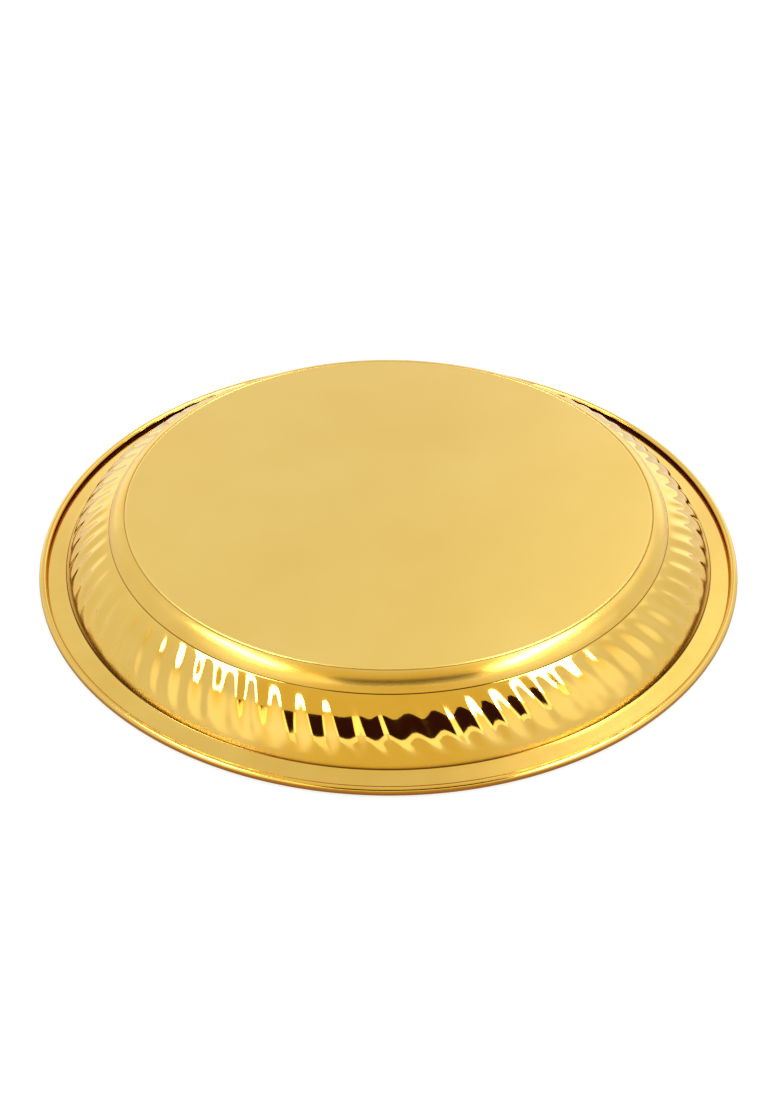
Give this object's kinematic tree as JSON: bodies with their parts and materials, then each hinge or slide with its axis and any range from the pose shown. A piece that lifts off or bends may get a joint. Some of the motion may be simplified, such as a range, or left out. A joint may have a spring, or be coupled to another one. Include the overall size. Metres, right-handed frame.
{
  "type": "thali plate",
  "caption": "Round shallow thali plate of brass sheet for serving meals, with a flat base, stepped shoulder, leaning hammered flutes round the wall, narrow sloping flange and wired rolled rim.",
  "frame": {"origin": "the rim's centre on the table, with the plate lying face down as pictured", "axes": "+Z along the plate's axis and out of the base's underside; -Y towards the camera; +X to the right as pictured"},
  "size_m": [0.3, 0.3, 0.025],
  "materials": {
    "brass_sheet": "polished on the hammered wall, buffed on the shoulder and the rim, satin on the base",
    "iron_wire": "dark annealed"
  },
  "bodies": {
    "root": {"plate_shell": "brass_sheet", "rim_wire": "iron_wire"}
  },
  "joints": []
}
